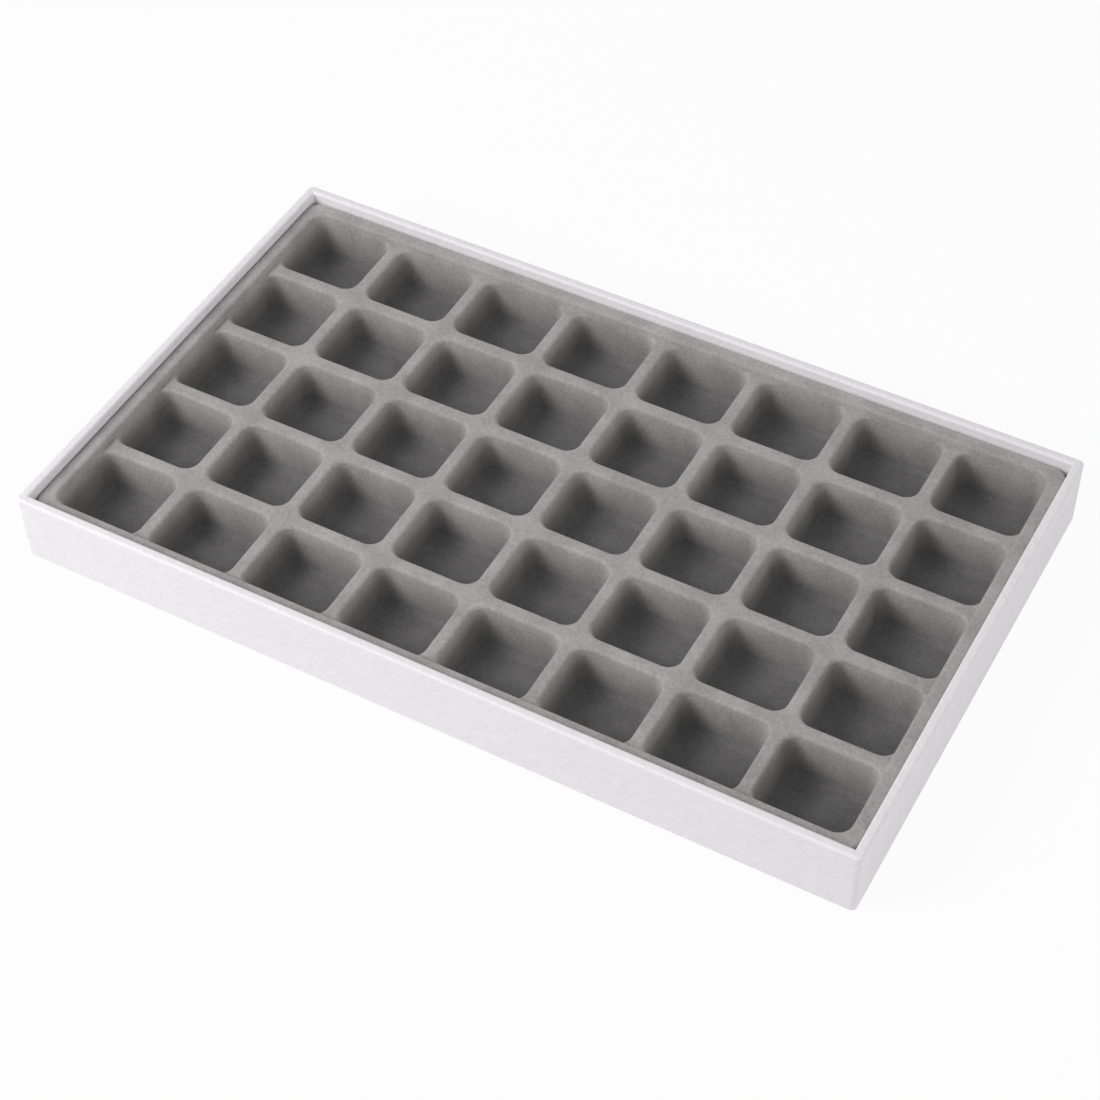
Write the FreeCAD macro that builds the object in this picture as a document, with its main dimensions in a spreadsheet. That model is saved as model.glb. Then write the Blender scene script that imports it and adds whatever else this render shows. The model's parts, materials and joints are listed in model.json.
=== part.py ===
"""Jewellery tray: thin boards wrapped in leatherette, with a lift-out flocked insert of pockets.

Millimetres and degrees, +Z up. The origin is the middle of the footprint, on the surface that the tray
stands on. +X runs along the long front wall and +Y points to the back wall.
"""

import FreeCAD, Part
import math
import os
import Sketcher

# Sizes that can be set by themselves
SIZES = {
    "tray_length": 370,
    "tray_width": 220,
    "tray_height": 33.5,
    "wall_board": 3,
    "base_thickness": 3,
    "board_corner_radius": 2,
    "stay_thickness": 0.2,
    "stay_width": 14,
    "stay_margin": 2,
    "leatherette": 0.5,
    "turn_in_width": 15,
    "underside_thickness": 0.5,
    "underside_inset": 3,
    "lining_thickness": 0.4,
    "lining_clearance": 0.3,
    "insert_clearance": 0.5,
    "seat_clearance": 0.3,
    "rim_recess": 4.3,
    "sheet_thickness": 1.2,
    "insert_corner_radius": 6,
    "border_width": 5.8,
    "border_edge": 0.8,
    "skirt_depth": 9,
    "columns": 8,
    "rows": 5,
    "column_divider": 5.7,
    "row_divider": 6.1,
    "divider_drop": 3.2,
    "pocket_radius": 6,
    "pocket_draft": 5,
    "lip_chamfer": 1.5,
    "floor_chamfer": 2.2,
    "chamfer_angle": 45,
    "cut_overrun": 5,
    "rim_skin_share": 2.4,
    "rim_wall_share": 0.45,
    "rim_corner_share": 0.7,
    "lip_rise_share": 0.5,
}

# Sizes and levels that follow from those
DERIVED = {
    # The boards and the corner stays round them
    "wall_thickness": "wall_board + 2 * leatherette",
    "carcass_length": "tray_length - 2 * leatherette",
    "carcass_width": "tray_width - 2 * leatherette",
    "corner_x": "carcass_length / 2",
    "corner_y": "carcass_width / 2",
    "board_x": "(carcass_length - wall_board) / 2",
    "board_y": "(carcass_width - wall_board) / 2",
    "board_level": "underside_thickness + leatherette",
    "board_height": "tray_height - leatherette - board_level",
    "base_length": "carcass_length - 2 * wall_board",
    "base_width": "carcass_width - 2 * wall_board",
    "base_top": "board_level + base_thickness",
    "stay_level": "board_level + stay_margin",
    "stay_height": "board_height - 2 * stay_margin",
    # The leatherette and the two sheets that hide its cut edges
    "wrap_height": "tray_height - underside_thickness",
    "wrap_radius": "board_corner_radius + leatherette",
    "rim_thinnest": "min(rim_skin_share * leatherette; rim_wall_share * wall_thickness)",
    "rim_radius": "min(rim_thinnest; rim_corner_share * wrap_radius)",
    "well_length": "tray_length - 2 * wall_thickness",
    "well_width": "tray_width - 2 * wall_thickness",
    "well_depth": "tray_height - base_top",
    "opening_length": "tray_length - 2 * turn_in_width",
    "opening_width": "tray_width - 2 * turn_in_width",
    "opening_depth": "leatherette + cut_overrun",
    "underside_length": "tray_length - 2 * underside_inset",
    "underside_width": "tray_width - 2 * underside_inset",
    "lining_length": "well_length - 2 * lining_clearance",
    "lining_width": "well_width - 2 * lining_clearance",
    # The insert's outline and levels
    "insert_length": "well_length - 2 * insert_clearance",
    "insert_width": "well_width - 2 * insert_clearance",
    "seat_level": "base_top + lining_thickness + seat_clearance",
    "floor_level": "seat_level + sheet_thickness",
    "border_level": "tray_height - rim_recess",
    "crest_level": "border_level - divider_drop",
    "edge_level": "border_level - border_edge",
    "block_height": "edge_level - seat_level",
    # Slopes that the insert's walls, mouths and floors share, as run per level
    "draft_slope": "tan(pocket_draft)",
    "lip_rise": "lip_rise_share * lip_chamfer",
    "lip_out": "lip_chamfer + lip_rise",
    "lip_drop": "lip_chamfer / (1 - draft_slope)",
    "lip_inset": "lip_rise + lip_drop",
    # The sunk field that the dividers stand in
    "field_length": "insert_length - 2 * border_width",
    "field_width": "insert_width - 2 * border_width",
    "field_x": "field_length / 2 - pocket_radius",
    "field_y": "field_width / 2 - pocket_radius",
    "rise_run": "divider_drop * draft_slope",
    "field_reach": "pocket_radius + rise_run + lip_out",
    "field_top": "border_level + lip_rise",
    "field_lip_foot": "border_level - lip_drop",
    "crest_inset": "lip_out + rise_run",
    # One pocket: a slope round the mouth, walls down to the foot, a slope round the floor
    "pocket_length": "(field_length - (columns - 1) * column_divider) / columns",
    "pocket_width": "(field_width - (rows - 1) * row_divider) / rows",
    "pocket_x": "pocket_length / 2 - pocket_radius",
    "pocket_y": "pocket_width / 2 - pocket_radius",
    "pocket_reach": "pocket_radius + lip_out",
    "column_span": "(columns - 1) * (pocket_length + column_divider)",
    "row_span": "(rows - 1) * (pocket_width + row_divider)",
    "first_column": "-column_span / 2",
    "first_row": "-row_span / 2",
    "lip_top": "crest_level + lip_rise",
    "lip_foot": "crest_level - lip_drop",
    "foot_level": "floor_level + floor_chamfer",
    "foot_inset": "lip_out + (crest_level - foot_level) * draft_slope",
    "floor_inset": "foot_inset + floor_chamfer",
    # The bounds that keep the sloped mouths off the border
    "bound_reach": "pocket_radius + lip_rise * draft_slope",
    "bound_level": "floor_level - cut_overrun",
    "bound_inset": "(lip_top - bound_level) * draft_slope",
    # The hollow below the sheet
    "under_level": "seat_level - cut_overrun",
    "under_top": "border_level - sheet_thickness",
    "under_height": "under_top - under_level",
    "under_length": "insert_length - 2 * sheet_thickness",
    "under_width": "insert_width - 2 * sheet_thickness",
    "under_radius": "insert_corner_radius - sheet_thickness",
    "under_field_length": "field_length + 2 * (rise_run + sheet_thickness)",
    "under_field_width": "field_width + 2 * (rise_run + sheet_thickness)",
    "under_field_radius": "pocket_radius + rise_run + sheet_thickness",
    "under_crest": "crest_level - sheet_thickness",
    "cup_reach": "pocket_radius + sheet_thickness",
    "cup_level": "under_level - cut_overrun",
    "cup_inset": "(under_crest - cup_level) * draft_slope",
    "relief_length": "insert_length + 2 * cut_overrun",
    "relief_width": "insert_width + 2 * cut_overrun",
    "relief_height": "border_level - skirt_depth - under_level",
    "slice_length": "tray_length + tray_width",
}

UPRIGHT = FreeCAD.Vector(0, 0, 1)
QUARTER_TURN = 90
TOLERANCE = 1e-4
POCKET_TURNS = (0, 30, 60, 90, 120, 150)
CUP_TURNS = (0, 45, 90, 135)
START, END, CENTRE = 1, 2, 3
ORIGIN, ACROSS, ALONG = -1, -1, -2


class Design:
    """The document, its sheet of sizes and the kinds of feature that read the sheet."""

    def __init__(self):
        self.doc = FreeCAD.newDocument("JewelleryTray")
        self.sheet = self.doc.addObject("Spreadsheet::Sheet", "Sizes")
        self.cells = 0
        for name, value in SIZES.items():
            self.add_cell(name, str(value))
        for name, formula in DERIVED.items():
            self.add_cell(name, "=" + formula)

    def add_cell(self, name, text):
        """Adds a named size to the sheet: a plain number, or a formula of the sizes above it."""
        self.cells += 1
        self.sheet.set(f"A{self.cells}", name)
        self.sheet.set(f"B{self.cells}", text)
        self.sheet.setAlias(f"B{self.cells}", name)
        self.sheet.recompute()

    def value(self, name):
        return float(getattr(self.sheet, name))

    def bind(self, thing, field, name):
        """Ties a property to a size of the sheet, or to its opposite where the name starts with a minus."""
        sign = "-" if name.startswith("-") else ""
        thing.setExpression(field, f"{sign}{self.sheet.Name}.{name.lstrip('-')}")

    def body(self, label):
        body = self.doc.addObject("PartDesign::Body", label)
        body.Label = label
        return body

    def bare_sketch(self, body, name, plane):
        sketch = body.newObject("Sketcher::SketchObject", name)
        sketch.AttachmentSupport = (origin_feature(body, plane), "")
        sketch.MapMode = "FlatFace"
        return sketch

    def sketch(self, body, name, level=None, across=None, along=None, turn=0):
        """A sketch on the body's ground plane, lifted to a level and moved across and along it."""
        sketch = self.bare_sketch(body, name, "XY_Plane")
        sketch.AttachmentOffset = FreeCAD.Placement(FreeCAD.Vector(), FreeCAD.Rotation(UPRIGHT, turn))
        for axis, size in (("x", across), ("y", along), ("z", level)):
            if size:
                self.bind(sketch, f".AttachmentOffset.Base.{axis}", size)
        return sketch

    def dimension(self, sketch, size, kind, *where):
        index = sketch.addConstraint(Sketcher.Constraint(kind, *where, self.value(size)))
        self.bind(sketch, f"Constraints[{index}]", size)

    def rectangle(self, sketch, length, width):
        """A rectangle about the sketch's own middle."""
        x = self.value(length) / 2
        y = self.value(width) / 2
        corners = [FreeCAD.Vector(*at) for at in ((x, y), (-x, y), (-x, -y), (x, -y))]
        sides = ring_of_lines(sketch, corners)
        top, left, bottom, right = sides
        level_and_upright(sketch, (top, bottom), (left, right))
        sketch.addConstraint(Sketcher.Constraint("Symmetric", top, START, bottom, START, ORIGIN, START))
        self.dimension(sketch, length, "DistanceX", left, START, top, START)
        self.dimension(sketch, width, "DistanceY", bottom, START, top, START)

    def round_rectangle(self, sketch, length, width, radius):
        """A rectangle with four equal round corners about the sketch's own middle."""
        r = self.value(radius)
        x = self.value(length) / 2 - r
        y = self.value(width) / 2 - r
        centres = [FreeCAD.Vector(*at) for at in ((x, y), (-x, y), (-x, -y), (x, -y))]
        ways = [FreeCAD.Vector(*at) for at in ((0, r), (-r, 0), (0, -r), (r, 0))]
        sides = []
        arcs = []
        for n, (centre, way) in enumerate(zip(centres, ways)):
            after = centres[(n + 1) % len(centres)]
            sides.append(sketch.addGeometry(Part.LineSegment(centre + way, after + way)))
            turns = [math.radians(QUARTER_TURN * share) for share in (n, n + 1)]
            arcs.append(sketch.addGeometry(Part.ArcOfCircle(Part.Circle(centre, UPRIGHT, r), *turns)))
        top, left, bottom, right = sides
        for before, arc, side in zip(sides[-1:] + sides[:-1], arcs, sides):
            sketch.addConstraint(Sketcher.Constraint("Tangent", before, END, arc, START))
            sketch.addConstraint(Sketcher.Constraint("Tangent", arc, END, side, START))
        level_and_upright(sketch, (top, bottom), (left, right))
        for arc in arcs[1:]:
            sketch.addConstraint(Sketcher.Constraint("Equal", arcs[0], arc))
        opposite = (arcs[0], CENTRE, arcs[2], CENTRE)
        sketch.addConstraint(Sketcher.Constraint("Symmetric", *opposite, ORIGIN, START))
        self.dimension(sketch, radius, "Radius", arcs[0])
        self.dimension(sketch, length, "DistanceX", left, START, right, START)
        self.dimension(sketch, width, "DistanceY", bottom, START, top, START)

    def side_profile(self, sketch, span, levels):
        """A form seen from one side: its span at the top, and how far its sides are inset further down."""
        half = self.value(span) / 2
        heights = [self.value(level) for level, inset in levels]
        insets = [self.value(inset) if inset else 0 for level, inset in levels]
        right = [FreeCAD.Vector(half - inset, height) for inset, height in zip(insets, heights)]
        left = [FreeCAD.Vector(-point.x, point.y) for point in reversed(right)]
        points = right + left
        lines = ring_of_lines(sketch, points)
        for n, (level, inset) in enumerate(levels):
            mirrored = lines[len(points) - 1 - n]
            sketch.addConstraint(Sketcher.Constraint("Symmetric", lines[n], START, mirrored, START, ALONG))
            self.dimension(sketch, level, "DistanceY", ORIGIN, START, lines[n], START)
            if inset:
                self.dimension(sketch, inset, "DistanceX", lines[n], START, lines[0], START)
        self.dimension(sketch, span, "DistanceX", lines[-1], START, lines[0], START)

    def angle_strip(self, sketch, leg, thickness, radius):
        """A thin strip bent once round a corner at the sketch's origin, with one leg each way."""
        w, t, r = (self.value(size) for size in (leg, thickness, radius))
        bend = FreeCAD.Vector(-r, -r)
        quarter = math.radians(QUARTER_TURN)

        def line(*ends):
            return sketch.addGeometry(Part.LineSegment(*(FreeCAD.Vector(*end) for end in ends)))

        def arc(reach):
            return sketch.addGeometry(Part.ArcOfCircle(Part.Circle(bend, UPRIGHT, reach), 0, quarter))

        inner_x = line((-w, 0), (-r, 0))
        inner_y = line((0, -r), (0, -w))
        end_y = line((0, -w), (t, -w))
        outer_y = line((t, -w), (t, -r))
        outer_x = line((-r, t), (-w, t))
        end_x = line((-w, t), (-w, 0))
        inner_bend = arc(r)
        outer_bend = arc(r + t)
        for first, at_first, second, at_second in (
            (inner_x, END, inner_bend, END),
            (inner_bend, START, inner_y, START),
            (outer_y, END, outer_bend, START),
            (outer_bend, END, outer_x, START),
        ):
            sketch.addConstraint(Sketcher.Constraint("Tangent", first, at_first, second, at_second))
        for first, second in ((inner_y, end_y), (end_y, outer_y), (outer_x, end_x), (end_x, inner_x)):
            sketch.addConstraint(Sketcher.Constraint("Coincident", first, END, second, START))
        level_and_upright(sketch, (inner_x, outer_x, end_y), (inner_y, outer_y, end_x))
        sketch.addConstraint(Sketcher.Constraint("Coincident", inner_bend, CENTRE, outer_bend, CENTRE))
        sketch.addConstraint(Sketcher.Constraint("PointOnObject", inner_x, START, ACROSS))
        sketch.addConstraint(Sketcher.Constraint("PointOnObject", inner_y, END, ALONG))
        self.dimension(sketch, radius, "Radius", inner_bend)
        self.dimension(sketch, leg, "DistanceX", inner_x, START, ORIGIN, START)
        self.dimension(sketch, leg, "DistanceY", inner_y, END, ORIGIN, START)
        self.dimension(sketch, thickness, "DistanceX", end_y, START, end_y, END)

    def pad(self, body, name, sketch, length, taper=None, down=False):
        """Raises a sketch, or sinks it. A taper draws the sides in on the way."""
        return self.raised(body, "PartDesign::Pad", name, sketch, length, taper, down)

    def pocket(self, body, name, sketch, length, taper=None):
        """Cuts a sketch downwards. A taper draws the sides in on the way."""
        return self.raised(body, "PartDesign::Pocket", name, sketch, length, taper)

    def raised(self, body, kind, name, sketch, length, taper, reverse=False):
        made = body.newObject(kind, name)
        made.Profile = sketch
        made.Reversed = reverse
        self.bind(made, "Length", length)
        if taper:
            self.bind(made, "TaperAngle", "-" + taper)
        return made

    def many_sided(self, label, turns, reach, flats, levels, across=None, along=None):
        """A form with the same side profile from several directions, so its round corners are flat facets.

        The flats are half the straight lengths of its sides, and the reach is its corner radius at the top.
        """
        slices = []
        for turn in turns:
            name = f"{label}_{turn}"
            half_span = f"{flats[0]} * abs(cos({turn})) + {flats[1]} * abs(sin({turn})) + {reach}"
            self.add_cell(f"{name}_span", f"=2 * ({half_span})")
            body = self.body(name)
            sketch = self.bare_sketch(body, name + "_profile", "XZ_Plane")
            self.side_profile(sketch, f"{name}_span", levels)
            self.pad(body, name + "_slice", sketch, "slice_length").SideType = "Symmetric"
            body.Placement = FreeCAD.Placement(FreeCAD.Vector(), FreeCAD.Rotation(UPRIGHT, turn))
            for axis, size in (("x", across), ("y", along)):
                if size:
                    self.bind(body, f".Placement.Base.{axis}", size)
            slices.append(body)
        return self.joined("MultiCommon", label, slices)

    def grid(self, label, cell):
        """Repeats a form, which stands in the first cell, over all columns and rows."""
        body = self.body(label)
        body.BaseFeature = cell
        self.doc.recompute()
        pattern = body.newObject("PartDesign::LinearPattern", label + "_pattern")
        pattern.TransformMode = "Whole shape"
        pattern.Direction = (origin_feature(body, "X_Axis"), [""])
        pattern.Direction2 = (origin_feature(body, "Y_Axis"), [""])
        pattern.Mode = "Extent"
        pattern.Mode2 = "Extent"
        self.bind(pattern, "Length", "column_span")
        self.bind(pattern, "Length2", "row_span")
        self.bind(pattern, "Occurrences", "columns")
        self.bind(pattern, "Occurrences2", "rows")
        body.Tip = pattern
        return body

    def round_edges(self, body, name, radius, picked):
        """Rounds those edges of the body's last feature that picked(edge) is true for."""
        self.doc.recompute()
        tip = body.Tip
        names = [f"Edge{n}" for n, edge in enumerate(tip.Shape.Edges, start=1) if picked(edge)]
        rounded = body.newObject("PartDesign::Fillet", name)
        rounded.Base = (tip, names)
        self.bind(rounded, "Radius", radius)

    def cut(self, label, base, tool):
        made = self.doc.addObject("Part::Cut", label)
        made.Label = label
        made.Base = base
        made.Tool = tool
        return made

    def joined(self, kind, label, shapes):
        """Several shapes as one: all that they fill (MultiFuse) or what they share (MultiCommon)."""
        made = self.doc.addObject(f"Part::{kind}", label)
        made.Label = label
        made.Shapes = shapes
        return made

    def plate(self, label, level, height, length, width, across=None, along=None):
        """A flat rectangular piece."""
        body = self.body(label)
        sketch = self.sketch(body, label + "_outline", level, across, along)
        self.rectangle(sketch, length, width)
        self.pad(body, label + "_sheet", sketch, height)
        return body


def ring_of_lines(sketch, points):
    """Lines from each point to the next and back to the first, joined at their ends."""
    lines = [sketch.addGeometry(Part.LineSegment(a, b)) for a, b in zip(points, points[1:] + points[:1])]
    for before, line in zip(lines[-1:] + lines[:-1], lines):
        sketch.addConstraint(Sketcher.Constraint("Coincident", before, END, line, START))
    return lines


def level_and_upright(sketch, level, upright):
    for line in level:
        sketch.addConstraint(Sketcher.Constraint("Horizontal", line))
    for line in upright:
        sketch.addConstraint(Sketcher.Constraint("Vertical", line))


def origin_feature(body, role):
    return next(item for item in body.Origin.OriginFeatures if item.Role == role)


def lies_at(edge, level):
    box = edge.BoundBox
    return abs(box.ZMin - level) < TOLERANCE and abs(box.ZMax - level) < TOLERANCE


def make_boards(design):
    """The base board, the long walls at full length and the short walls butted between them."""
    boards = [design.plate("base_board", "board_level", "base_thickness", "base_length", "base_width")]
    for label, along, outward in (("front_wall_board", "-board_y", -1), ("back_wall_board", "board_y", 1)):
        wall = design.plate(
            label, "board_level", "board_height", "carcass_length", "wall_board", along=along
        )
        outer_face = outward * design.value("corner_y")

        def upright_at_outer_face(edge):
            box = edge.BoundBox
            upright = box.ZLength > box.XLength and box.ZLength > box.YLength
            return upright and abs(box.Center.y - outer_face) < TOLERANCE

        design.round_edges(wall, label + "_corners", "board_corner_radius", upright_at_outer_face)
        boards.append(wall)
    for label, across in (("left_wall_board", "-board_x"), ("right_wall_board", "board_x")):
        wall = design.plate(label, "board_level", "board_height", "wall_board", "base_width", across)
        boards.append(wall)
    return boards


def make_stays(design):
    """A bent paper stay round each upright corner of the boards."""
    corners = (
        ("back_right_stay", "corner_x", "corner_y"),
        ("back_left_stay", "-corner_x", "corner_y"),
        ("front_left_stay", "-corner_x", "-corner_y"),
        ("front_right_stay", "corner_x", "-corner_y"),
    )
    stays = []
    for quarter, (label, across, along) in enumerate(corners):
        body = design.body(label)
        turn = quarter * QUARTER_TURN
        sketch = design.sketch(body, label + "_profile", "stay_level", across, along, turn)
        design.angle_strip(sketch, "stay_width", "stay_thickness", "board_corner_radius")
        design.pad(body, label + "_strip", sketch, "stay_height")
        stays.append(body)
    return stays


def make_wrap(design, inside):
    """The leatherette: up the outside, over the rim, down the inside and turned in under the base."""
    body = design.body("wrap_form")
    outline = design.sketch(body, "wrap_outline", "underside_thickness")
    design.round_rectangle(outline, "tray_length", "tray_width", "wrap_radius")
    design.pad(body, "wrap_block", outline, "wrap_height")
    well = design.sketch(body, "well_outline", "tray_height")
    design.rectangle(well, "well_length", "well_width")
    design.pocket(body, "well", well, "well_depth")
    rim, foot = design.value("tray_height"), design.value("underside_thickness")
    design.round_edges(
        body, "rim_and_foot", "rim_radius", lambda edge: lies_at(edge, rim) or lies_at(edge, foot)
    )
    opening = design.sketch(body, "opening_outline", "board_level")
    design.rectangle(opening, "opening_length", "opening_width")
    design.pocket(body, "turn_in_opening", opening, "opening_depth")
    return design.cut("leatherette_wrap", body, design.joined("MultiFuse", "wrapped_pieces", inside))


def make_insert(design):
    """The flocked sheet: a block, less the sunk field and its pockets, less the hollow below."""
    upper = design.body("upper_form")
    outline = design.sketch(upper, "block_outline", "seat_level")
    design.round_rectangle(outline, "insert_length", "insert_width", "insert_corner_radius")
    design.pad(upper, "block", outline, "block_height")
    edge = design.sketch(upper, "edge_outline", "edge_level")
    design.round_rectangle(edge, "insert_length", "insert_width", "insert_corner_radius")
    design.pad(upper, "edge", edge, "border_edge", taper="chamfer_angle")

    field_flats = ("field_x", "field_y")
    field_levels = (("field_top", None), ("field_lip_foot", "lip_inset"), ("crest_level", "crest_inset"))
    field = design.many_sided("field", POCKET_TURNS, "field_reach", field_flats, field_levels)
    sunk = design.cut("sunk_form", upper, field)

    flats = ("pocket_x", "pocket_y")
    first_cell = ("first_column", "first_row")
    pocket_levels = (
        ("lip_top", None),
        ("lip_foot", "lip_inset"),
        ("foot_level", "foot_inset"),
        ("floor_level", "floor_inset"),
    )
    pocket = design.many_sided("pocket", POCKET_TURNS, "pocket_reach", flats, pocket_levels, *first_cell)
    bound_levels = (("lip_top", None), ("bound_level", "bound_inset"))
    bounds = design.many_sided("bounds", POCKET_TURNS, "bound_reach", field_flats, bound_levels)
    pockets = design.joined("MultiCommon", "bounded_pockets", [design.grid("pockets", pocket), bounds])
    opened = design.cut("opened_form", sunk, pockets)

    space = design.body("space_below")
    inside = design.sketch(space, "inside_outline", "under_level")
    design.round_rectangle(inside, "under_length", "under_width", "under_radius")
    design.pad(space, "inside", inside, "under_height")
    relief = design.sketch(space, "relief_outline", "under_level")
    design.rectangle(relief, "relief_length", "relief_width")
    design.pad(space, "skirt_relief", relief, "relief_height")
    below_field = design.sketch(space, "below_field_outline", "under_top")
    design.round_rectangle(below_field, "under_field_length", "under_field_width", "under_field_radius")
    design.pocket(space, "below_field", below_field, "divider_drop")
    cup_levels = (("under_crest", None), ("cup_level", "cup_inset"))
    cup = design.many_sided("cup", CUP_TURNS, "cup_reach", flats, cup_levels, *first_cell)
    hollow = design.cut("hollow", space, design.grid("cups", cup))

    return design.cut("pocket_insert", opened, hollow)


def main():
    design = Design()
    boards = make_boards(design)
    stays = make_stays(design)
    pieces = [
        *boards,
        *stays,
        make_wrap(design, boards + stays),
        design.plate("base_lining", "base_top", "lining_thickness", "lining_length", "lining_width"),
        design.plate("underside_sheet", None, "underside_thickness", "underside_length", "underside_width"),
        make_insert(design),
    ]
    design.doc.recompute()
    for item in design.doc.Objects:
        if {"Invalid", "Error"} & set(item.State):
            raise RuntimeError(f"{item.Label} did not build: {item.State}")
    os.makedirs("parts", exist_ok=True)
    for piece in pieces:
        shape = piece.Shape
        if shape.isNull() or not shape.isValid() or len(shape.Solids) != 1:
            raise RuntimeError(f"{piece.Label} is not one sound solid")
        shape.exportStep(f"parts/{piece.Label}.step")


main()
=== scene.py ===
"""Looks of a jewelry tray: a white leatherette-covered tray with a grey flocked insert of pockets."""

import json
import logging
import math
from collections.abc import Mapping
from dataclasses import dataclass
from enum import Enum
from typing import Any

import bpy
import numpy as np
from mathutils import Matrix, Vector


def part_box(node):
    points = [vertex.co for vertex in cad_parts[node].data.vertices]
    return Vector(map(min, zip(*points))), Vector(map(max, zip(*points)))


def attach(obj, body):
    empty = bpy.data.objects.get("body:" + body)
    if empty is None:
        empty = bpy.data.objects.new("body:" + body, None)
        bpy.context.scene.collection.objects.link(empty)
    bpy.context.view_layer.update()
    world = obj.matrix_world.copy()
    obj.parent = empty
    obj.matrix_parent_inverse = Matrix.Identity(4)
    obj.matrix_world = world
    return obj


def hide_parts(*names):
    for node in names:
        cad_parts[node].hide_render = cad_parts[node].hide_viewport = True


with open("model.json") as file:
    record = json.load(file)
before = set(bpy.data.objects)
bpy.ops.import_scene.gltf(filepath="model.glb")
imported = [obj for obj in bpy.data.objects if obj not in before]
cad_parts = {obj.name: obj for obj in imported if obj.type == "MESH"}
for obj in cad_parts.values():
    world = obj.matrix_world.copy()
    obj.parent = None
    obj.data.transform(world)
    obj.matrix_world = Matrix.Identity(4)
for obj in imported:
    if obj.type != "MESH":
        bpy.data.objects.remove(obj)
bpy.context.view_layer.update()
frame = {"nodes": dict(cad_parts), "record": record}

LOG = logging.getLogger("jewelry_tray")
MM = 0.001
RIGHT_ANGLE = 90
EIGHTH_TURN = math.pi / 4
# The sRGB curve is straight up to its knee, and a power from there on.
SRGB_KNEE = 0.04045
SRGB_SLOPE = 12.92
SRGB_OFFSET = 0.055
SRGB_POWER = 2.4
# The corners of a rectangle as signs of x and y, anticlockwise from the back right one.
CORNERS = ((1, 1), (-1, 1), (-1, -1), (1, -1))
# An array of points, or of one value for each point.
Points = np.ndarray


class Slot(Enum):
    """The record's material slots."""

    LEATHERETTE = "leatherette"
    FLOCKED_SHEET = "flocked_sheet"
    GREYBOARD = "greyboard"
    STAY_PAPER = "stay_paper"
    LINING_PAPER = "lining_paper"
    UNDERSIDE_PAPER = "underside_paper"


class Ray(Enum):
    """The kinds of ray that see the plain white studio instead of its light."""

    CAMERA = "Is Camera Ray"
    GLOSSY = "Is Glossy Ray"
    TRANSMISSION = "Is Transmission Ray"


def linear(hex_colour: str) -> tuple[float, float, float, float]:
    """Turns an sRGB colour into linear values.

    Args:
        hex_colour: Six hexadecimal digits, red, green and blue.

    Returns:
        Linear red, green and blue, and an alpha of 1.
    """
    parts = [byte / 0xFF for byte in bytes.fromhex(hex_colour)]
    red, green, blue = (
        part / SRGB_SLOPE
        if part <= SRGB_KNEE
        else ((part + SRGB_OFFSET) / (1 + SRGB_OFFSET)) ** SRGB_POWER
        for part in parts
    )
    return red, green, blue, 1.0


def per_metre(size_mm: float) -> float:
    """The texture scale at which a pattern repeats about once in a size given in millimetres."""
    return 1 / (size_mm * MM)


def direction(azimuth: float, elevation: float) -> Vector:
    """The direction out to a place at an azimuth from the front and an elevation, in degrees."""
    turn, lift = math.radians(azimuth), math.radians(elevation)
    return Vector((math.sin(turn) * math.cos(lift), -math.cos(turn) * math.cos(lift), math.sin(lift)))


def add_node(
    tree: bpy.types.NodeTree, kind: str, inputs: Mapping[str | int, Any] | None = None, **settings: Any
) -> bpy.types.Node:
    """Adds a node with its settings, values and links.

    Args:
        tree: The node tree that gets the node.
        kind: The node's type, such as ShaderNodeMath.
        inputs: Values for its input sockets by name or number; a socket given as a value is linked.
        settings: Values for the node's own properties.

    Returns:
        The new node.
    """
    node = tree.nodes.new(kind)
    for name, value in settings.items():
        setattr(node, name, value)
    for name, value in (inputs or {}).items():
        if isinstance(value, bpy.types.NodeSocket):
            tree.links.new(value, node.inputs[name])
        else:
            node.inputs[name].default_value = value
    return node


def two_tones(
    tree: bpy.types.NodeTree, pattern: bpy.types.NodeSocket, low: str, high: str, start: float, end: float
) -> bpy.types.NodeSocket:
    """Colours a pattern between two sRGB colours.

    Args:
        tree: The node tree.
        pattern: The pattern.
        low: The colour at and below start.
        high: The colour at and above end.
        start: The pattern value where the blend starts.
        end: The pattern value where the blend ends.

    Returns:
        The colour socket.
    """
    share = add_node(tree, "ShaderNodeMapRange", {"Value": pattern, "From Min": start, "From Max": end})
    tones = {"Factor": share.outputs["Result"], "A": linear(low), "B": linear(high)}
    return add_node(tree, "ShaderNodeMix", tones, data_type="RGBA").outputs["Result"]


def new_material(name: str) -> tuple[bpy.types.Material, bpy.types.NodeTree, bpy.types.Node]:
    """Makes an empty node material.

    Args:
        name: What the material is.

    Returns:
        The material, its node tree and its output node.
    """
    material = bpy.data.materials.new(name)
    material.use_nodes = True
    tree = material.node_tree
    tree.nodes.clear()
    return material, tree, add_node(tree, "ShaderNodeOutputMaterial")


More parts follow.
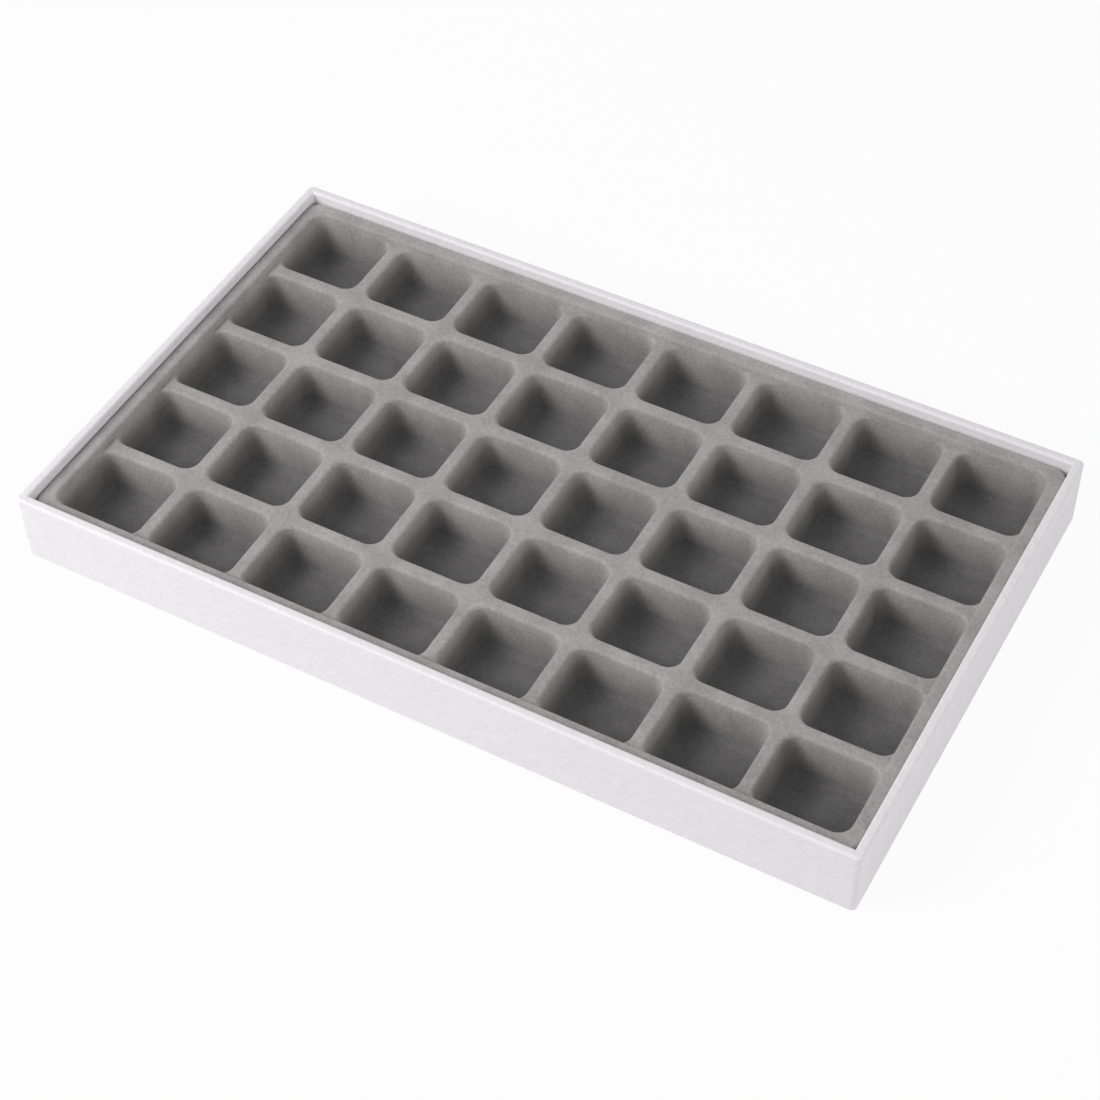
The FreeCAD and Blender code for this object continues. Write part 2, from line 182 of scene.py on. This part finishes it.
@dataclass(frozen=True)
class Leatherette:
    """White coated fabric, hot-pressed with a fine leather grain.

    The press leaves short low wrinkles that slant across every face, crossed by fainter ones, so the low
    sheen of the coat is broken up; the creases are painted a little greyer, as painted shade.
    """

    name: str = "white_embossed_leatherette"
    ridge: str = "F1EEF1"
    # Painted shade: the colour in the wrinkles' creases, a little greyer than the ridges.
    painted_crease_shade: str = "E9E6E9"
    tone_range: tuple[float, float] = (0.35, 0.65)
    roughness: tuple[float, float] = (0.62, 0.78)
    ior: float = 1.45
    # Real wrinkles are about 0.5 mm wide, which is too fine to show, so they are drawn at 1.2 mm.
    wrinkle_mm: float = 1.2
    wrinkle_length_mm: float = 5.0
    slants: tuple[tuple[float, ...], ...] = ((1, 1, -1), (1, 1, 1))
    cross_share: float = 0.35
    wrinkle_detail: float = 2
    depth_mm: float = 0.055

    def wrinkles(
        self, tree: bpy.types.NodeTree, place: bpy.types.NodeSocket, slant: tuple[float, ...]
    ) -> bpy.types.NodeSocket:
        """Adds one set of short wrinkles that slants across every face.

        Args:
            tree: The node tree.
            place: The place on the surface.
            slant: The signs of the direction across the wrinkles; two of the three count on each face.

        Returns:
            The height of the wrinkles, from 0 to 1.
        """
        across = [sign / math.sqrt(len(slant)) for sign in slant]
        run = add_node(tree, "ShaderNodeVectorMath", {0: place, 1: across}, operation="DOT_PRODUCT")
        width = {0: across, "Scale": run.outputs["Value"]}
        wide = add_node(tree, "ShaderNodeVectorMath", width, operation="SCALE")
        length = [self.wrinkle_mm / self.wrinkle_length_mm] * len(slant)
        drawn = {0: place, 1: length, 2: wide.outputs["Vector"]}
        long = add_node(tree, "ShaderNodeVectorMath", drawn, operation="MULTIPLY_ADD")
        scale = per_metre(self.wrinkle_mm)
        grain = {"Vector": long.outputs["Vector"], "Scale": scale, "Detail": self.wrinkle_detail}
        return add_node(tree, "ShaderNodeTexNoise", grain).outputs["Fac"]

    def material(self) -> bpy.types.Material:
        """Builds the material: two slanted sets of wrinkles, as relief, roughness and painted shade in the
        creases.

        Returns:
            The material.
        """
        material, tree, output = new_material(self.name)
        place = add_node(tree, "ShaderNodeTexCoord").outputs["Object"]
        main, cross = (self.wrinkles(tree, place, slant) for slant in self.slants)
        sets = {"Factor": self.cross_share, "A": main, "B": cross}
        height = add_node(tree, "ShaderNodeMix", sets, data_type="FLOAT").outputs["Result"]
        bump = add_node(tree, "ShaderNodeBump", {"Height": height, "Distance": self.depth_mm * MM})
        smooth, rough = self.roughness
        coat = add_node(tree, "ShaderNodeMapRange", {"Value": height, "To Min": rough, "To Max": smooth})
        # The base colour turns greyer where the wrinkles are low: painted shade in the creases.
        shader = add_node(
            tree,
            "ShaderNodeBsdfPrincipled",
            {
                "Base Color": two_tones(tree, height, self.painted_crease_shade, self.ridge, *self.tone_range),
                "Roughness": coat.outputs["Result"],
                "IOR": self.ior,
                "Normal": bump.outputs["Normal"],
            },
        )
        tree.links.new(shader.outputs["BSDF"], output.inputs["Surface"])
        return material


@dataclass(frozen=True)
class FlockedSheet:
    """Formed plastic sheet covered in short grey nylon flock.

    The fibres stand up, so the sheet is dull and pale along every rounded edge, with cloudy patches where
    the nap leans another way. Deep in the pockets the colour is painted darker, as painted shade.
    """

    name: str = "grey_flocked_sheet"
    pale: str = "B2B0AD"
    dark: str = "969492"
    # Painted shade: the tone is multiplied by this colour at the pocket floors, fading to white, which
    # leaves it unchanged, at the dividers' crest.
    drawn: str = "B8B8BC"
    unshaded: str = "FFFFFF"
    halo: str = "F4F4F2"
    tone_range: tuple[float, float] = (0.35, 0.65)
    roughness: float = 0.95
    ior: float = 1.45
    specular: float = 0.2
    sheen: float = 0.5
    sheen_roughness: float = 0.45
    cloud_mm: float = 14.0
    cloud_detail: float = 4
    # Flock fibres are some hundredths of a millimetre thick, so the nap is drawn at 1.1 mm to show at all.
    nap_mm: float = 1.1
    nap_detail: float = 2
    nap_depth_mm: float = 0.12
    cloud_share: float = 0.5

    def material(self, floor: float, crest: float) -> bpy.types.Material:
        """Builds the material: clouds of leaning nap and a fine speckle, with a pale sheen, and painted
        shade low in the pockets.

        Args:
            floor: The level in metres where the painted shade is darkest.
            crest: The level in metres from which up there is no painted shade.

        Returns:
            The material.
        """
        material, tree, output = new_material(self.name)
        place = add_node(tree, "ShaderNodeTexCoord").outputs["Object"]
        cloud_size = {"Scale": per_metre(self.cloud_mm), "Detail": self.cloud_detail}
        clouds = add_node(tree, "ShaderNodeTexNoise", {"Vector": place, **cloud_size}).outputs["Fac"]
        nap_size = {"Scale": per_metre(self.nap_mm), "Detail": self.nap_detail}
        nap = add_node(tree, "ShaderNodeTexNoise", {"Vector": place, **nap_size}).outputs["Fac"]
        patterns = {"Factor": self.cloud_share, "A": nap, "B": clouds}
        mixed = add_node(tree, "ShaderNodeMix", patterns, data_type="FLOAT").outputs["Result"]
        tone = two_tones(tree, mixed, self.dark, self.pale, *self.tone_range)
        level = add_node(tree, "ShaderNodeSeparateXYZ", {"Vector": place}).outputs["Z"]
        # Painted shade: the tone is darker towards the pocket floors, and unchanged from the dividers'
        # crest up.
        painted_shade = two_tones(tree, level, self.drawn, self.unshaded, floor, crest)
        layers = {"Factor": 1, "A": tone, "B": painted_shade}
        shaded_tone = add_node(tree, "ShaderNodeMix", layers, data_type="RGBA", blend_type="MULTIPLY")
        bump = add_node(tree, "ShaderNodeBump", {"Height": nap, "Distance": self.nap_depth_mm * MM})
        shader = add_node(
            tree,
            "ShaderNodeBsdfPrincipled",
            {
                "Base Color": shaded_tone.outputs["Result"],
                "Roughness": self.roughness,
                "IOR": self.ior,
                "Specular IOR Level": self.specular,
                "Sheen Weight": self.sheen,
                "Sheen Roughness": self.sheen_roughness,
                "Sheen Tint": linear(self.halo),
                "Normal": bump.outputs["Normal"],
            },
        )
        tree.links.new(shader.outputs["BSDF"], output.inputs["Surface"])
        return material


@dataclass(frozen=True)
class Board:
    """Pulp board or paper: matt, with fibres that lie along one direction and specks of other pulp."""

    name: str
    pale: str
    dark: str
    # A pulp fibre is too thin to show, so this is the width of the bundles that are drawn instead.
    fibre_mm: float
    fibre_detail: float = 6
    fibre_roughness: float = 0.65
    tone_range: tuple[float, float] = (0.3, 0.7)
    roughness: float = 0.92
    relief_mm: float = 0.03
    stretch: tuple[float, float, float] = (0.25, 1.0, 1.0)

    def material(self) -> bpy.types.Material:
        """Builds the material: stretched fibre noise as tone and as a faint relief.

        Returns:
            The material.
        """
        material, tree, output = new_material(self.name)
        place = add_node(tree, "ShaderNodeTexCoord").outputs["Object"]
        laid = add_node(tree, "ShaderNodeMapping", {"Vector": place, "Scale": self.stretch})
        fibres = {
            "Vector": laid.outputs["Vector"],
            "Scale": per_metre(self.fibre_mm),
            "Detail": self.fibre_detail,
            "Roughness": self.fibre_roughness,
        }
        pulp = add_node(tree, "ShaderNodeTexNoise", fibres).outputs["Fac"]
        bump = add_node(tree, "ShaderNodeBump", {"Height": pulp, "Distance": self.relief_mm * MM})
        shader = add_node(
            tree,
            "ShaderNodeBsdfPrincipled",
            {
                "Base Color": two_tones(tree, pulp, self.dark, self.pale, *self.tone_range),
                "Roughness": self.roughness,
                "Normal": bump.outputs["Normal"],
            },
        )
        tree.links.new(shader.outputs["BSDF"], output.inputs["Surface"])
        return material


@dataclass
class WrappedTray:
    """The tray itself: boards, paper stays, leatherette, lining and underside, shaped as the solids are."""

    # Waste paper, pulped and pressed: dull grey, with darker flecks.
    boards: Board = Board("pressed_greyboard", pale="8C8880", dark="6F6B64", fibre_mm=1.6)
    # Unbleached paper with a gummed back: a warm brown with fibres that show.
    stays: Board = Board("brown_gummed_paper", pale="C2A67E", dark="A88C66", fibre_mm=1.2)
    # Bleached paper, rolled smooth: nearly even white.
    lining: Board = Board("white_lining_paper", pale="EDECE9", dark="E0DFDC", fibre_mm=1.4)
    # Uncoated bleached paper: white, and a little cloudier than the lining.
    underside: Board = Board("white_backing_paper", pale="EFEEEC", dark="DDDCDA", fibre_mm=1.1)
    cover: Leatherette = Leatherette()

    def finishes(self) -> dict[Slot, bpy.types.Material]:
        """Builds each finish once.

        Returns:
            The material for each slot that the tray's solids use.
        """
        return {
            Slot.GREYBOARD: self.boards.material(),
            Slot.STAY_PAPER: self.stays.material(),
            Slot.LINING_PAPER: self.lining.material(),
            Slot.UNDERSIDE_PAPER: self.underside.material(),
            Slot.LEATHERETTE: self.cover.material(),
        }

    def dress(self) -> None:
        """Gives every solid of the tray the finish of its slot."""
        finishes = self.finishes()
        for part in frame["record"]["subparts"]:
            material = finishes.get(Slot(part["material_slot"]))
            if material is not None:
                solid = frame["nodes"][part["node"]]
                solid.data.materials.clear()
                solid.data.materials.append(material)
                LOG.info("%s: %s", part["node"], material.name)


@dataclass(frozen=True)
class Station:
    """One place on the way round a pocket, in plan, about the pocket's middle.

    The pocket's rings pass it at their distances out from the base, and the cell ends at the edge. Border
    tells how far the pocket's lip has died into the border's wall there, from 0 to 1.
    """

    base: Points
    way: Points
    edge: Points
    border: float


@dataclass
class FlockedInsert:
    """The formed insert: one thin sheet with pockets, round lips, a raised border and a short skirt.

    Lengths are in millimetres. The sheet's outer size and levels come from the solid that it stands for.
    """

    node: str = "pocket_insert"
    body: str = "insert"
    columns: int = 8
    rows: int = 5
    sheet: float = 1.2
    border: float = 5.8
    column_divider: float = 5.7
    row_divider: float = 6.1
    divider_drop: float = 3.2
    pocket_radius: float = 6.0
    draft_degrees: float = 5.0
    lip_radius: float = 1.6
    foot_radius: float = 3.0
    edge_radius: float = 0.8
    corner_radius: float = 6.0
    skirt: float = 9.0
    corner_steps: int = 8
    side_steps: int = 4
    deck_steps: int = 2
    lip_steps: int = 5
    wall_steps: int = 2
    foot_steps: int = 5
    border_steps: int = 3
    edge_steps: int = 3
    floor_shares: tuple[float, ...] = (0.7, 0.35)
    straight_share: float = 0.2
    lip_room: float = 0.8
    sharp_degrees: float = 55.0
    finish: FlockedSheet = FlockedSheet()

    def __post_init__(self) -> None:
        """Reads the solid's box and works out levels, pitches and the rounded profiles."""
        low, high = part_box(self.node)
        self.half = np.array([(high.x - low.x) / 2, (high.y - low.y) / 2]) / MM
        self.top = high.z / MM
        self.crest = self.top - self.divider_drop
        self.floor = low.z / MM + self.sheet
        self.count = np.array([self.columns, self.rows])
        self.field = self.half - self.border
        divider = np.array([self.column_divider, self.row_divider])
        self.mouth = (2 * self.field - (self.count - 1) * divider) / self.count / 2
        self.pitch = 2 * self.mouth + divider
        draft = math.radians(self.draft_degrees)
        self.slope = math.tan(draft)
        self.turn = math.pi / 2 - draft
        self.lip_run = self.lip_radius * math.tan(self.turn / 2)
        self.lip_end = self.lip_run * math.sin(draft)
        foot_run = self.foot_radius * math.tan(self.turn / 2)
        wall_foot = (self.crest - self.floor) * self.slope
        self.foot_start = wall_foot - foot_run * math.sin(draft)
        self.foot_end = wall_foot + foot_run

    def inside(self, points: Points, half: Points) -> Points:
        """How far points lie inside a rectangle with the pockets' corner radius.

        Args:
            points: Plan points about the rectangle's middle.
            half: Half the rectangle's two sides.

        Returns:
            The distance to its outline, negative outside.
        """
        out = np.abs(points) - (half - self.pocket_radius)
        beyond = np.linalg.norm(np.maximum(out, 0), axis=-1)
        return self.pocket_radius - beyond - np.minimum(out.max(axis=-1), 0)

    def level(self, inset: Points, riser: Points) -> Points:
        """The sheet's height in a pocket and on its dividers.

        Args:
            inset: How far each point lies inside its pocket's mouth.
            riser: How far it lies inside the whole field of pockets.

        Returns:
            The height of deck, lip, wall, foot or floor, or of the border's wall where that is higher.
        """
        on_lip = np.clip(inset, -self.lip_run, self.lip_end) + self.lip_run
        lip = self.crest - self.lip_radius + np.sqrt(np.maximum(self.lip_radius**2 - on_lip**2, 0))
        wall = self.crest - inset / self.slope
        on_foot = self.foot_end - np.clip(inset, self.foot_start, self.foot_end)
        foot = self.floor + self.foot_radius - np.sqrt(np.maximum(self.foot_radius**2 - on_foot**2, 0))
        pocket = np.select([inset <= self.lip_end, inset <= self.foot_start], [lip, wall], foot)
        return np.maximum(pocket, np.minimum(self.crest - riser / self.slope, self.crest))

    def insets(self) -> tuple[Points, Points]:
        """How far in each ring of a pocket lies, from the top of its lip to its floor.

        Returns:
            The insets beside a divider, and beside the border, where the wall has no lip and goes on up.
        """
        lip = self.lip_radius * np.sin(np.linspace(0, self.turn, self.lip_steps + 1)) - self.lip_run
        steps = self.lip_steps + self.deck_steps
        straight = self.lip_end * np.arange(self.deck_steps, steps + 1) / steps
        wall = np.linspace(self.lip_end, self.foot_start, self.wall_steps + 1)[1:]
        sweep = np.linspace(self.turn, 0, self.foot_steps + 1)[1:]
        foot = self.foot_end - self.foot_radius * np.sin(sweep)
        return np.concatenate([lip, wall, foot]), np.concatenate([straight, wall, foot])

    def fade(self, degrees: float) -> float:
        """How far a pocket's lip has died into the border's wall.

        The lip keeps to a share of the room that the round corner leaves beside the border.

        Args:
            degrees: The angle by which the pocket's corner has turned towards the border.

        Returns:
            A share from 0, where the lip is whole, to 1.
        """
        if degrees <= RIGHT_ANGLE / 2:
            return 0.0
        room = self.lip_room * self.pocket_radius * (1 / math.sin(math.radians(degrees)) - 1)
        return max(1 - room / self.lip_run, 0.0)

    def stations(self, place: Points) -> list[Station]:
        """Goes round a pocket, anticlockwise from the start of its back right corner.

        Args:
            place: The pocket's column and row.

        Returns:
            The places round it: each corner, then the side after it.
        """
        around = []
        for quarter, signs in enumerate(np.array(CORNERS)):
            # The corner turns from facing along its first axis to facing along its last.
            first, last = quarter % 2, (quarter + 1) % 2
            outermost = place == np.where(signs > 0, self.count - 1, 0)
            edge = signs * np.where(outermost, self.mouth, self.pitch / 2)
            core = signs * (self.mouth - self.pocket_radius)
            for step in range(self.corner_steps + 1):
                share = step / self.corner_steps
                degrees = RIGHT_ANGLE * share
                angle = math.radians(RIGHT_ANGLE * quarter + degrees)
                way = np.array([math.cos(angle), math.sin(angle)])
                # The cell's edge runs along the last axis to the cell's corner, then back along the first.
                moving, part = (last, 2 * share) if share <= 0.5 else (first, 2 - 2 * share)
                point = edge.copy()
                point[moving] = core[moving] + part * (edge - core)[moving]
                faded = outermost[last] * self.fade(degrees)
                faded = max(faded, outermost[first] * self.fade(RIGHT_ANGLE - degrees))
                if outermost.all():
                    point = core + way * self.pocket_radius
                    faded = 1.0
                around.append(Station(core, way, point, faded))
            for step in range(1, self.side_steps):
                base = core.copy()
                base[first] *= 1 - 2 * step / self.side_steps
                point = base.copy()
                point[last] = edge[last]
                around.append(Station(base, way, point, float(outermost[last])))
        return around

    def cell(self, column: int, row: int) -> Points:
        """Builds the rings of one pocket and of its share of the dividers.

        Args:
            column: The pocket's column, from the left.
            row: The pocket's row, from the front.

        Returns:
            Rings of points, from the cell's outer boundary to its floor.
        """
        place = np.array([column, row])
        middle = (place - (self.count - 1) / 2) * self.pitch
        around = self.stations(place)
        base = np.array([[station.base] for station in around])
        way = np.array([[station.way] for station in around])
        edge = np.array([[station.edge] for station in around])
        border = np.array([[station.border] for station in around])
        by_divider, by_border = self.insets()
        inset = by_divider * (1 - border) + by_border * border
        walls = base + way * (self.pocket_radius - inset)[:, :, None]
        shares = np.arange(self.deck_steps)[None, :, None] / self.deck_steps
        deck = edge + (walls[:, :1] - edge) * shares
        floor = walls[:, -1:] * np.array(self.floor_shares)[None, :, None]
        plan = np.concatenate([deck, walls, floor], axis=1).transpose(1, 0, 2)
        height = self.level(self.inside(plan, self.mouth), self.inside(plan + middle, self.field))
        return np.concatenate([plan + middle, height[..., None]], axis=-1)

    def outline(self, foot: Points, out: Points) -> tuple[Points, Points]:
        """Finds each point's partner on the insert's outer edge.

        On a side the partner lies straight across. Round a corner it first slides along to where the outer
        corner starts, for the straight share of the way, and then swings round it.

        Args:
            foot: Plan points round the field of pockets.
            out: The unit directions out from there.

        Returns:
            The points that the outer edge is offset from, and the directions of the offset.
        """
        core, edge_core = self.field - self.pocket_radius, self.half - self.corner_radius
        turn = np.arctan2(np.abs(out[:, 1]), np.abs(out[:, 0]))
        near = np.minimum(turn, 2 * EIGHTH_TURN - turn) / EIGHTH_TURN
        slide = np.minimum(near / self.straight_share, 1)
        swing = np.maximum(near - self.straight_share, 0) / (1 - self.straight_share) * EIGHTH_TURN
        swing = np.where(turn > EIGHTH_TURN, 2 * EIGHTH_TURN - swing, swing)
        # The number of the axis that the nearest side runs along.
        along = np.where(turn <= EIGHTH_TURN, 1, 0)
        each = np.arange(len(foot))
        anchor = np.tile(edge_core, (len(foot), 1))
        slid = core[along] + (edge_core - core)[along] * slide
        anchor[each, along] = np.where(near > 0, slid, np.abs(foot[each, along]))
        signs = np.sign(foot)
        return signs * anchor, signs * np.column_stack([np.cos(swing), np.sin(swing)])

    def rim(self, loop: Points) -> list[Points]:
        """Builds the rings from the field's edge over the border and down the skirt.

        Args:
            loop: The closed loop of points where the border's wall meets the dividers' level.

        Returns:
            Rings of points, each as long as the loop.
        """
        core = self.field - self.pocket_radius
        foot = loop[:, :2]
        out = foot - np.clip(foot, -core, core)
        out = out / np.linalg.norm(out, axis=1, keepdims=True)
        lip_start = self.divider_drop * self.slope + self.lip_run
        middle, way = self.outline(foot, out)
        flat = middle + way * (self.corner_radius - self.edge_radius)
        steps = []
        for angle in np.linspace(self.turn, 0, self.lip_steps + 1):
            inner = foot + out * (lip_start - self.lip_radius * math.sin(angle))
            steps.append((inner, self.top - self.lip_radius * (1 - math.cos(angle))))
        for share in np.linspace(0, 1, self.border_steps + 1)[1:]:
            steps.append((inner + (flat - inner) * share, self.top))
        for angle in np.linspace(0, math.pi / 2, self.edge_steps + 1)[1:]:
            outer = flat + way * self.edge_radius * math.sin(angle)
            steps.append((outer, self.top - self.edge_radius * (1 - math.cos(angle))))
        steps.append((outer, self.top - self.skirt))
        return [np.column_stack([plan, np.full(len(plan), level)]) for plan, level in steps]

    def build(self) -> bpy.types.Object:
        """Builds the whole sheet, thickens it and puts it in the scene.

        Returns:
            The insert, riding on its body and standing for its solid.
        """
        surface = SheetMesh()
        for column in range(self.columns):
            for row in range(self.rows):
                surface.add_rings(self.cell(column, row), cap=True)
        loop = surface.merged_outline()
        # The rim's rings grow outwards, so their order is turned round to keep its faces up.
        surface.add_rings(np.array([loop, *self.rim(loop)])[:, ::-1], cap=False)
        piece = surface.thick_object("flocked_insert", self.sheet, self.sharp_degrees)
        piece.data.materials.append(self.finish.material(self.floor * MM, self.crest * MM))
        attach(piece, self.body)
        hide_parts(self.node)
        LOG.info("%s: %d faces", piece.name, len(piece.data.polygons))
        return piece


class SheetMesh:
    """A mesh in the making: rings of points joined by four-sided faces, and merged where they meet."""

    # Points closer than this, in millimetres, are one point.
    MERGE = 1e-4

    def __init__(self) -> None:
        """Starts with no points and no faces."""
        self.points: list[Points] = []
        self.faces: list[tuple[int, ...]] = []
        self.total = 0

    def add_rings(self, rings: Points, cap: bool) -> None:
        """Adds a stack of closed rings.

        Args:
            rings: Rings of points, all of one length, which go anticlockwise as seen from above where each
                lies inside the one before it, and clockwise where it lies outside.
            cap: Whether the last ring is closed by a face.
        """
        depth, length = rings.shape[:2]
        first = self.total
        self.points.append(rings.reshape(-1, 3))
        self.total += depth * length
        for ring in range(depth - 1):
            for i in range(length):
                a, b = first + ring * length + i, first + ring * length + (i + 1) % length
                self.faces.append((a, b, b + length, a + length))
        if cap:
            last = first + (depth - 1) * length
            self.faces.append(tuple(range(last, last + length)))

    def merge(self) -> None:
        """Joins points that lie in the same place."""
        points = np.concatenate(self.points)
        keys = np.round(points / self.MERGE).astype(np.int64)
        _, kept, where = np.unique(keys, axis=0, return_index=True, return_inverse=True)
        where = where.reshape(-1)
        self.points, self.total = [points[kept]], len(kept)
        self.faces = [tuple(dict.fromkeys(int(where[i]) for i in face)) for face in self.faces]
        self.faces = [face for face in self.faces if len(face) > 2]

    def merged_outline(self) -> Points:
        """Merges the cells and finds the open edge round them.

        Returns:
            The points of that edge, in order, anticlockwise as seen from above.
        """
        self.merge()
        edges = {(a, b) for face in self.faces for a, b in zip(face, face[1:] + face[:1])}
        after = {a: b for a, b in edges if (b, a) not in edges}
        start = min(after)
        loop = [start]
        while after[loop[-1]] != start:
            loop.append(after[loop[-1]])
        return self.points[0][loop]

    def thick_object(self, name: str, thickness: float, sharp_degrees: float) -> bpy.types.Object:
        """Turns the sheet into a closed solid piece.

        Args:
            name: The piece's name.
            thickness: The sheet's thickness in millimetres, below the surface.
            sharp_degrees: Edges that turn by more than this stay sharp.

        Returns:
            The piece, in the scene.
        """
        self.merge()
        mesh = bpy.data.meshes.new(name)
        mesh.from_pydata((self.points[0] * MM).tolist(), [], self.faces)
        piece = bpy.data.objects.new(name, mesh)
        bpy.context.scene.collection.objects.link(piece)
        shell = piece.modifiers.new("thickness", "SOLIDIFY")
        shell.thickness, shell.offset = thickness * MM, -1
        bpy.context.view_layer.update()
        solid = bpy.data.meshes.new_from_object(piece.evaluated_get(bpy.context.evaluated_depsgraph_get()))
        piece.modifiers.clear()
        piece.data = solid
        solid.name = name
        solid.shade_smooth()
        solid.set_sharp_from_angle(angle=math.radians(sharp_degrees))
        bpy.data.meshes.remove(mesh)
        return piece


@dataclass(frozen=True)
class Softbox:
    """A square soft lamp that faces the tray from an azimuth off the front and an elevation, in degrees.

    Its distance and its size are in metres.
    """

    name: str
    azimuth: float
    elevation: float
    distance: float
    size: float
    watts: float

    def build(self) -> None:
        """Puts the lamp in the scene."""
        lamp = bpy.data.lights.new(self.name, "AREA")
        lamp.shape, lamp.size, lamp.energy = "SQUARE", self.size, self.watts
        stand = bpy.data.objects.new(self.name, lamp)
        away = direction(self.azimuth, self.elevation)
        stand.location = away * self.distance
        stand.rotation_mode = "QUATERNION"
        stand.rotation_quaternion = (-away).to_track_quat("-Z", "Y")
        bpy.context.scene.collection.objects.link(stand)


@dataclass
class Studio:
    """A pale floor, even light with two soft lamps, and the camera at the photograph's angle.

    Lengths are in metres where their names don't say millimetres, and angles are in degrees.
    """

    lens_mm: float = 79.91
    sensor_mm: float = 36.0
    aim: tuple[float, float, float] = (0.01044, -0.02036, 0.01675)
    distance: float = 0.97749
    azimuth: float = 30.03
    elevation: float = 48.16
    roll: float = -1.478
    clip: tuple[float, float] = (0.01, 50.0)
    floor_size: float = 6.0
    floor_tones: tuple[str, str] = ("D8D8D8", "DCDCDC")
    floor_grain_mm: float = 30.0
    floor_roughness: float = 0.95
    floor_white_share: float = 0.94
    white: str = "FFFFFF"
    dome_light: float = 0.49
    lamps: tuple[Softbox, ...] = (
        Softbox("key_softbox", azimuth=-41, elevation=38, distance=1.6, size=0.7, watts=15.4),
        Softbox("fill_softbox", azimuth=88, elevation=8, distance=1.8, size=0.4, watts=6.7),
    )

    def sees_white(self, tree: bpy.types.NodeTree) -> bpy.types.NodeSocket:
        """Adds the test for a ray that shows the studio as white.

        Args:
            tree: The node tree.

        Returns:
            A socket that is 1 for such rays and 0 for light.
        """
        path = add_node(tree, "ShaderNodeLightPath")
        found = path.outputs[Ray.CAMERA.value]
        for ray in (Ray.GLOSSY, Ray.TRANSMISSION):
            sides = {0: found, 1: path.outputs[ray.value]}
            found = add_node(tree, "ShaderNodeMath", sides, operation="MAXIMUM").outputs[0]
        return found

    def build_world(self) -> None:
        """Lights the scene evenly from all round, and shows a white background."""
        world = bpy.data.worlds.new("soft_studio")
        bpy.context.scene.world = world
        world.use_nodes = True
        tree = world.node_tree
        tree.nodes.clear()
        colour = linear(self.white)
        light = add_node(tree, "ShaderNodeBackground", {"Color": colour, "Strength": self.dome_light})
        white = add_node(tree, "ShaderNodeBackground", {"Color": colour})
        shown = {0: self.sees_white(tree), 1: light.outputs[0], 2: white.outputs[0]}
        mixed = add_node(tree, "ShaderNodeMixShader", shown)
        add_node(tree, "ShaderNodeOutputWorld", {"Surface": mixed.outputs[0]})

    def floor_material(self) -> bpy.types.Material:
        """Builds the floor's finish: pale and matt, shown as white but for a faint shadow.

        Returns:
            The material.
        """
        material, tree, output = new_material("pale_studio_floor")
        place = add_node(tree, "ShaderNodeTexCoord").outputs["Object"]
        scale = per_metre(self.floor_grain_mm)
        grain = add_node(tree, "ShaderNodeTexNoise", {"Vector": place, "Scale": scale}).outputs["Fac"]
        tone = two_tones(tree, grain, *self.floor_tones, 0, 1)
        finish = {"Base Color": tone, "Roughness": self.floor_roughness, "Specular IOR Level": 0}
        matt = add_node(tree, "ShaderNodeBsdfPrincipled", finish)
        white = add_node(tree, "ShaderNodeEmission", {"Color": linear(self.white)})
        factors = {0: self.sees_white(tree), 1: self.floor_white_share}
        share = add_node(tree, "ShaderNodeMath", factors, operation="MULTIPLY")
        shown = {0: share.outputs[0], 1: matt.outputs[0], 2: white.outputs[0]}
        mixed = add_node(tree, "ShaderNodeMixShader", shown)
        tree.links.new(mixed.outputs[0], output.inputs["Surface"])
        return material

    def build_floor(self) -> None:
        """Lays the floor."""
        reach = self.floor_size / 2
        corners = [(x * reach, y * reach, 0) for x, y in CORNERS]
        mesh = bpy.data.meshes.new("studio_floor")
        mesh.from_pydata(corners, [], [tuple(range(len(corners)))])
        mesh.materials.append(self.floor_material())
        floor = bpy.data.objects.new("studio_floor", mesh)
        bpy.context.scene.collection.objects.link(floor)

    def build_camera(self) -> None:
        """Sets up the camera."""
        data = bpy.data.cameras.new("photo_camera")
        data.lens, data.sensor_width, data.sensor_fit = self.lens_mm, self.sensor_mm, "HORIZONTAL"
        data.clip_start, data.clip_end = self.clip
        camera = bpy.data.objects.new("photo_camera", data)
        away = direction(self.azimuth, self.elevation)
        camera.location = Vector(self.aim) + away * self.distance
        level = (-away).to_track_quat("-Z", "Y").to_matrix().to_4x4()
        turned = level @ Matrix.Rotation(math.radians(self.roll), 4, "Z")
        camera.rotation_mode = "QUATERNION"
        camera.rotation_quaternion = turned.to_quaternion()
        bpy.context.scene.collection.objects.link(camera)
        bpy.context.scene.camera = camera

    def build(self) -> None:
        """Builds the floor, the light and the camera."""
        self.build_world()
        self.build_floor()
        for lamp in self.lamps:
            lamp.build()
        self.build_camera()
        bpy.context.scene.view_settings.view_transform = "Standard"
        LOG.info("studio: floor, %d lamps and the camera", len(self.lamps))


def main() -> None:
    """Builds the tray, the insert and the studio."""
    logging.basicConfig(level=logging.INFO, format="%(message)s")
    WrappedTray().dress()
    FlockedInsert().build()
    Studio().build()
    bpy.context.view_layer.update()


if __name__ == "__main__":
    main()
